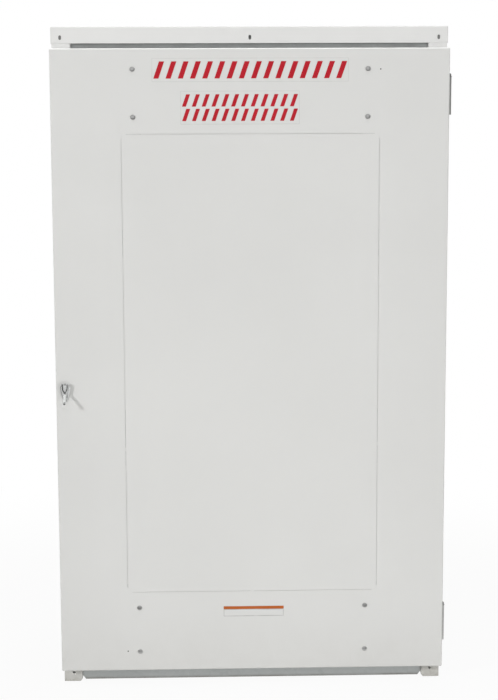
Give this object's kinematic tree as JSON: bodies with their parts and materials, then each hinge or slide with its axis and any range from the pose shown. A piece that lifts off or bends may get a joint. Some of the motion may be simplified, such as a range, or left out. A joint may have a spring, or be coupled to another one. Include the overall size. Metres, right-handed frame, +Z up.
{
  "type": "gas bottle cabinet",
  "caption": "Free-standing white sheet-steel locker for upright gas bottles, with shelves, side vents and one full-height hinged door with a quarter-turn lever latch.",
  "frame": {"origin": "on the floor, midway between the side panels and midway between the lever's tip and the rear edge of the roof cap", "axes": "+Z up, -Y out of the door, +X towards the hinges"},
  "size_m": [1.0285, 0.7748, 1.731],
  "materials": {
    "white_paint": "satin powder coat",
    "galvanised_sheet": "dull spangled zinc",
    "rivet_aluminium": "plain",
    "zinc_plate": "zinc plated",
    "hinge_steel": "plain steel",
    "bright_chrome": "polished",
    "black_rubber": "matt",
    "red_vinyl": "cut film",
    "white_vinyl": "film",
    "orange_vinyl": "film"
  },
  "bodies": {
    "cabinet": {"back_panel": "white_paint", "back_rivets": "rivet_aluminium", "cap_rivets": "rivet_aluminium", "door_bumpers": "black_rubber", "floor_pan": "galvanised_sheet", "floor_rivets": "rivet_aluminium", "frame_hinge_screws": "zinc_plate", "header_rail": "galvanised_sheet", "latch_keeper": "galvanised_sheet", "left_side_panel": "white_paint", "lower_hinge_frame_leaf": "hinge_steel", "lower_hinge_pin": "hinge_steel", "lower_shelf": "galvanised_sheet", "lower_shelf_left_rail": "galvanised_sheet", "lower_shelf_right_rail": "galvanised_sheet", "rail_rivets": "rivet_aluminium", "right_side_panel": "white_paint", "roof_cap": "white_paint", "upper_hinge_frame_leaf": "hinge_steel", "upper_hinge_pin": "hinge_steel", "upper_shelf": "galvanised_sheet", "upper_shelf_left_rail": "galvanised_sheet", "upper_shelf_right_rail": "galvanised_sheet"},
    "door": {"door_skin": "white_paint", "door_stiffener_left": "galvanised_sheet", "door_stiffener_right": "galvanised_sheet", "door_bolts": "zinc_plate", "door_nuts": "zinc_plate", "door_hinge_screws": "zinc_plate", "title_film": "white_vinyl", "title_stripes": "red_vinyl", "notice_film": "white_vinyl", "notice_stripes": "red_vinyl", "door_label": "white_vinyl", "door_label_band": "orange_vinyl", "latch_bush": "bright_chrome", "latch_nut": "zinc_plate", "upper_hinge_door_leaf": "hinge_steel", "lower_hinge_door_leaf": "hinge_steel"},
    "latch": {"latch_lever": "bright_chrome", "latch_spindle": "zinc_plate", "latch_cam": "zinc_plate", "latch_cam_nut": "zinc_plate"}
  },
  "joints": [
    {"name": "door_hinge", "type": "hinge", "parent": "cabinet", "child": "door", "pos_m": [0.514, -0.31725, 0.857], "axis": [0, 0, 1], "range_deg": [0, 180]},
    {"name": "latch_turn", "type": "hinge", "parent": "door", "child": "latch", "pos_m": [-0.485, -0.347, 0.805], "axis": [0, -1, 0], "range_deg": [0, 90]}
  ]
}
